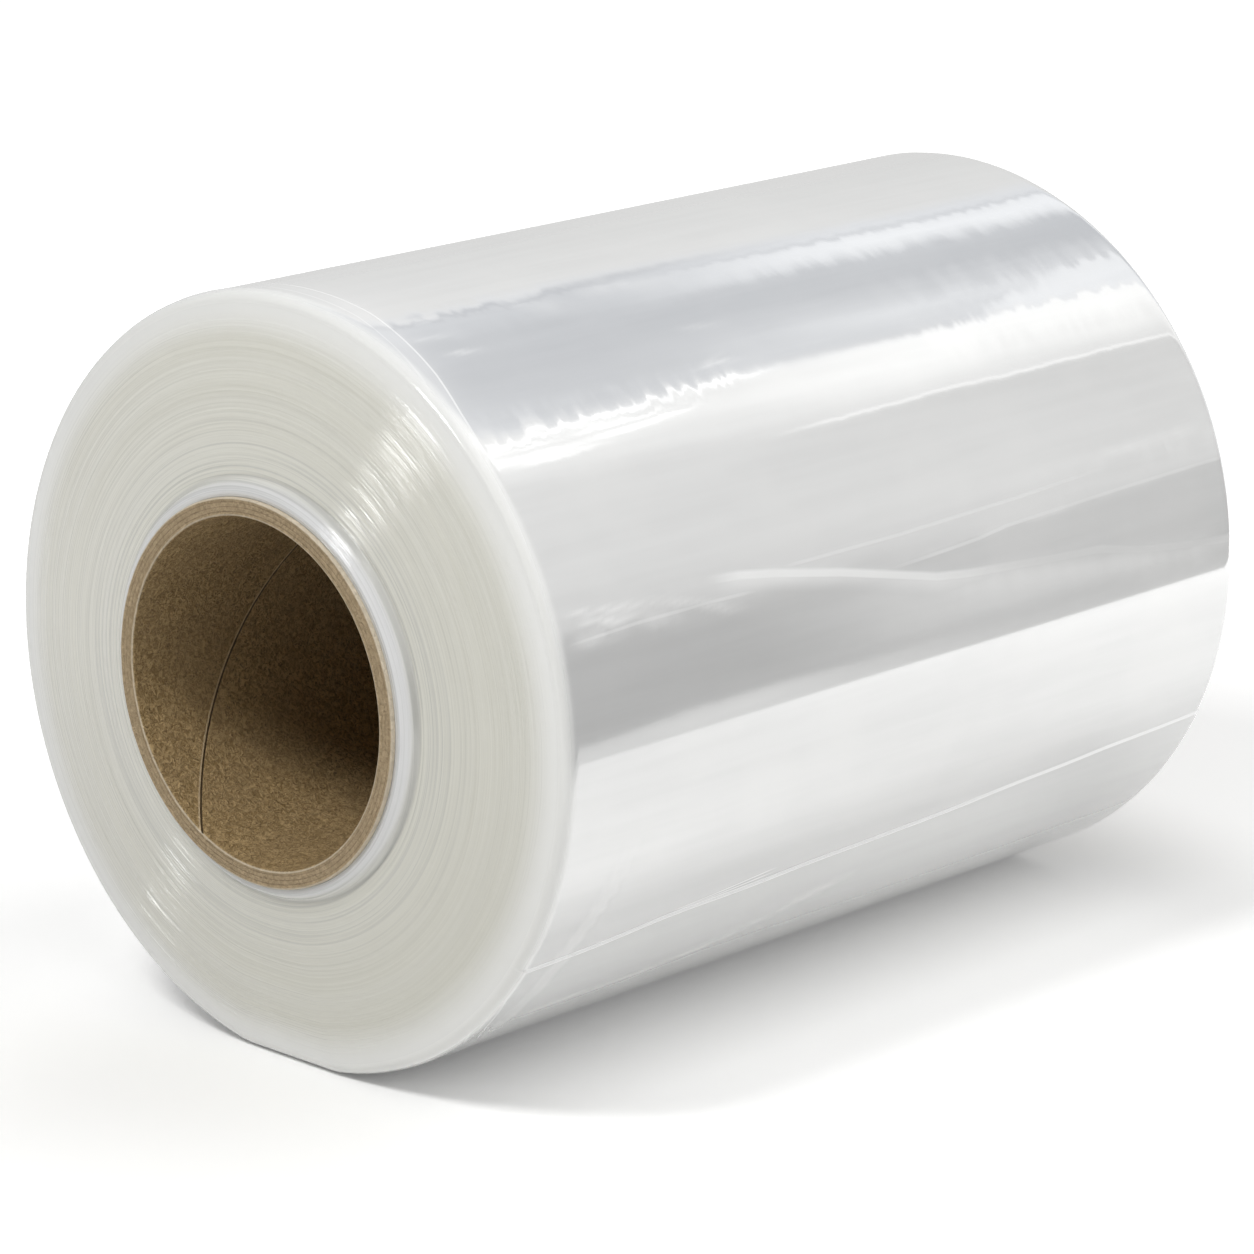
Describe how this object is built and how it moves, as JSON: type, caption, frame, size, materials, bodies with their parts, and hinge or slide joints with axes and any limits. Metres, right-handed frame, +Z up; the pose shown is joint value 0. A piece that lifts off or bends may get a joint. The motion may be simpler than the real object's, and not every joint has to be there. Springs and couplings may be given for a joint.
{
  "type": "roll of biodegradable film",
  "caption": "Roll of clear biodegradable packing film wound on a spiral paperboard core, lying on its side.",
  "frame": {"origin": "on the surface that the roll lies on, under the middle of the roll's box", "axes": "+X along the roll's axis, away from the end whose turns fall back from the core; +Z up"},
  "size_m": [0.228, 0.17, 0.1688],
  "materials": {
    "paperboard": "matt kraft paperboard",
    "film": "glossy milky film"
  },
  "bodies": {
    "root": {"paperboard_core": "paperboard", "wound_film": "film"}
  },
  "joints": []
}
